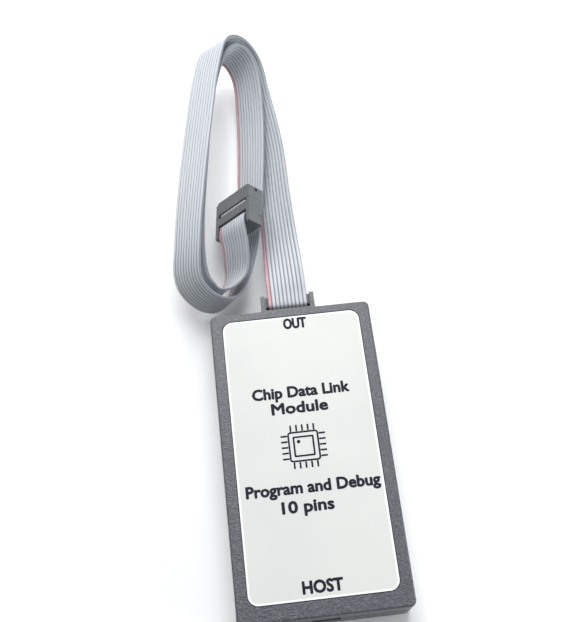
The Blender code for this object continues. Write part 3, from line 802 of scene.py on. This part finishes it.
def board_finish():
    """Solder mask over copper tracks."""
    material, tree, shader = new_finish("green_board", 0.34, Coat_Weight=0.4, Coat_Roughness=0.2)
    bands = [add(tree, "ShaderNodeTexWave", {"Vector": place(tree), "Scale": TRACK_SCALE, "Distortion": 0.0},
                 bands_direction=axis).outputs["Fac"] for axis in "XY"]
    chosen = calc(tree, "GREATER_THAN", noise(tree, PATCH_SCALE, 0.0), 0.5)
    wave = add(tree, "ShaderNodeMix", {0: chosen, 2: bands[0], 3: bands[1]}, data_type="FLOAT").outputs[0]
    shown = calc(tree, "GREATER_THAN", noise(tree, 70.0, 1.0), 0.47)
    track = calc(tree, "MULTIPLY", calc(tree, "GREATER_THAN", wave, 0.62), shown)
    weave = noise(tree, 2600.0, 2.0)
    green = ramp(tree, weave, (0.008, 0.085, 0.045), (0.012, 0.115, 0.058), 0.3, 0.7)
    use(tree, shader, Base_Color=mix(tree, track, green, (0.03, 0.19, 0.085)),
        Roughness=spread(tree, weave, 0.28, 0.4))
    relief(tree, shader, track, 0.00003)
    return material


dress(board_finish(), "circuit_board")

# %% [markdown]
# ## Chips and small blocks
# Chip packages are sandblasted black epoxy with a round pin-1 dimple. Small blocks are fired ceramic or moulded
# resin between two tinned end caps, so their finish needs to know where along the block a point is.

# %% Finish: chip packages
DIMPLE_R, DIMPLE_EDGE = 0.28 * MM, 0.36 * MM
LEAD_LENGTH, LEAD_TOP = 0.75 * MM, 0.8 * MM


def chip_finish(name):
    """Black epoxy with a dimple, and bright leads low down at the edges."""
    low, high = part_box(name)
    material, tree, shader = new_finish("epoxy_" + name, 0.58)
    dimple = Vector((low.x * 0.7 + high.x * 0.3, low.y * 0.3 + high.y * 0.7, high.z))
    spot = add(tree, "ShaderNodeVectorMath", {0: place(tree, centre=dimple)}, operation="LENGTH").outputs["Value"]
    mark = add(tree, "ShaderNodeMapRange", {"Value": spot, "From Min": DIMPLE_R,
                                            "From Max": DIMPLE_EDGE}).outputs[0]
    grain = noise(tree, 6000.0, 2.0)
    epoxy = ramp(tree, grain, (0.014, 0.014, 0.016), (0.030, 0.030, 0.033), 0.3, 0.7)
    height = add(tree, "ShaderNodeSeparateXYZ", {"Vector": place(tree)}).outputs[2]
    spots = add(tree, "ShaderNodeSeparateXYZ", {"Vector": place(tree, centre=(low + high) / 2)})
    half = (high - low) / 2
    leads = calc(tree, "MAXIMUM", *[calc(tree, "GREATER_THAN", calc(tree, "ABSOLUTE", spots.outputs[i]),
                                         half[i] - LEAD_LENGTH) for i in (0, 1)])
    leads = calc(tree, "MULTIPLY", leads, calc(tree, "LESS_THAN", height, low.z + LEAD_TOP))
    colour = mix(tree, mark, (0.007, 0.007, 0.008), epoxy)
    use(tree, shader, Base_Color=mix(tree, leads, colour, (0.72, 0.72, 0.72)), Metallic=leads,
        Roughness=spread(tree, grain, 0.45, 0.65))
    relief(tree, shader, calc(tree, "ADD", grain, calc(tree, "MULTIPLY", mark, 4.0)), 0.00001)
    return material


for chip in ("controller_chip", "memory_chip", "regulator"):
    dress(chip_finish(chip), chip)

# %% Finish: blocks with end caps
ROW_PITCH, CAP_FROM = 4.2 * MM, 0.31               # between blocks, and where a cap starts as a share of the length


def capped_finish(name, sample, axis, dark, light):
    """A block's body colour in the middle and bright tin at both ends of that axis."""
    low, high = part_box(sample)
    material, tree, shader = new_finish(name, 0.45)
    spot = add(tree, "ShaderNodeSeparateXYZ", {"Vector": place(tree, centre=(low + high) / 2)}).outputs[axis]
    if axis == 0:                                  # the row repeats along X, so fold it back
        spot = calc(tree, "WRAP", spot, -ROW_PITCH / 2, ROW_PITCH / 2)
    cap = calc(tree, "GREATER_THAN", calc(tree, "ABSOLUTE", spot), (high - low)[axis] * CAP_FROM)
    grain = noise(tree, 5000.0, 2.0)
    body = ramp(tree, grain, dark, light, 0.3, 0.7)
    use(tree, shader, Base_Color=mix(tree, cap, body, (0.74, 0.74, 0.73)), Metallic=cap,
        Roughness=spread(tree, grain, 0.32, 0.5))
    relief(tree, shader, grain, 0.00001)
    return material


dress(capped_finish("tan_ceramic", "ceramic_capacitor_1", 0, (0.42, 0.29, 0.17), (0.55, 0.40, 0.26)),
      *[f"ceramic_capacitor_{i}" for i in range(1, 5)])
dress(capped_finish("black_resistor", "chip_resistor_1", 1, (0.02, 0.02, 0.024), (0.045, 0.045, 0.05)),
      *[f"chip_resistor_{i}" for i in range(1, 5)])
dress(capped_finish("amber_resin", "tantalum_capacitor_1", 1, (0.55, 0.30, 0.03), (0.74, 0.46, 0.08)),
      *[f"tantalum_capacitor_{i}" for i in (1, 2)])

# %% Finish: the metal parts and the socket's insert
dress(contact_gold, *[f"header_pin_{i}" for i in range(1, 11)])
dress(screw_steel, *[f"case_screw_{i}" for i in range(1, 5)])
dress(socket_steel, "usb_socket_shell")
dress(metal_finish("crystal_can", (0.55, 0.55, 0.56), (0.74, 0.74, 0.75), 0.3, (0.2, 1, 1), 1800.0), "crystal_can")
dress(header_black, "usb_socket_insert")

# %% [markdown]
# ## Contacts and solder
# The USB socket's tongue carries five gold strips. Under the board every header pin ends in a small cone of solder
# that climbs the pin.

# %% Socket strips and solder joints
TONGUE_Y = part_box("usb_socket_insert")[0].y
STRIP_INSET, STRIP_LEVEL = 0.3 * MM, 9.05 * MM
STRIP_PROFILE = ((0.0, 0.02), (0.35, 0.1), (4.3, 0.1), (4.6, 0.05))       # how far along and how high, in mm
STRIP_HALF, STRIP_DEEP, STRIP_PITCH = 0.17, 0.06, 0.65 * MM
strip_rings = [[Vector((x, y, far)) * MM for x, y in ((-STRIP_HALF, -lift), (STRIP_HALF, -lift),
                                                      (STRIP_HALF, STRIP_DEEP), (-STRIP_HALF, STRIP_DEEP))]
               for far, lift in STRIP_PROFILE]
gold_strip = lofted("gold_strip", strip_rings, smooth=False)
tongue_face = Matrix.Translation((0, TONGUE_Y + STRIP_INSET, STRIP_LEVEL)) @ FACE_ALONG_Y
lay_rows("usb_contacts", gold_strip, contact_gold, "box", tongue_face, (5, 1), (STRIP_PITCH, 0))

BOARD_LOW, PIN_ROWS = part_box("circuit_board")[0].z, (32.86 * MM, 35.4 * MM)
CONE = ((-0.02, 0.86), (0.16, 0.74), (0.36, 0.56), (0.58, 0.44), (0.74, 0.38))       # depth and radius in mm
cone_rings = [[Vector((r * math.cos(math.radians(30 * i)), r * math.sin(math.radians(30 * i)), -z)) * MM
               for i in range(12)] for z, r in CONE]
cone = lofted("solder_cone", cone_rings)
tails = Matrix.Translation((0, sum(PIN_ROWS) / 2, BOARD_LOW))
lay_rows("solder_joints", cone, solder_tin, "box", tails, (5, 2), (PIN_PITCH, PIN_PITCH))

# %% [markdown]
# ## Table and light
# The box lies on a plain pale table. Two broad soft lamps beyond the far end leave the faces that look back at the
# camera darker, which shows the ribbon's curls. Two weaker ones lift the right and left sides a little, and the pale
# surroundings fill the rest.

# %% The table
def table_finish():
    """Nearly even white, with a trace of cloud and tooth."""
    material, tree, shader = new_finish("pale_table", 0.8)
    cloud = noise(tree, 6.0, 3.0)
    use(tree, shader, Base_Color=ramp(tree, cloud, (0.86, 0.865, 0.87), (0.90, 0.90, 0.90)))
    relief(tree, shader, noise(tree, 900.0, 2.0), 0.00001)
    return material


TABLE = 1.5
bm = bmesh.new()
bmesh.ops.create_grid(bm, x_segments=8, y_segments=8, size=TABLE)
table = put("table", mesh_from("table", bm))
table.data.materials.append(table_finish())

# %% Lamps and surroundings
LAMPS = (                                          # place and aim in metres, size, and power in watts
    ("far_lamp", (-0.05, 0.64, 0.50), (0, 0.05, 0), 0.70, 6.0),
    ("top_lamp", (0.0, 0.36, 0.76), (0, 0.05, 0), 0.60, 3.7),
    ("side_lamp", (0.44, -0.10, 0.14), (0, 0.02, 0.01), 0.40, 2.2),
    ("left_lamp", (-0.42, 0.30, 0.20), (-0.02, 0.08, 0.01), 0.40, 0.8))
for name, spot, aim, size, power in LAMPS:
    light = bpy.data.lights.new(name, "AREA")
    light.shape, light.size, light.energy = "DISK", size, power
    lamp = put(name, light)
    lamp.location = spot
    lamp.rotation_euler = (Vector(aim) - Vector(spot)).to_track_quat("-Z", "Y").to_euler()

world = bpy.data.worlds.new("pale_room")
world.use_nodes = True
surroundings = world.node_tree.nodes["Background"]
surroundings.inputs["Color"].default_value = (0.93, 0.96, 1.0, 1)
surroundings.inputs["Strength"].default_value = 0.20
scene.world = world
scene.view_settings.view_transform = "Standard"
print("table and light ready")

# %% Update the scene
bpy.context.view_layer.update()
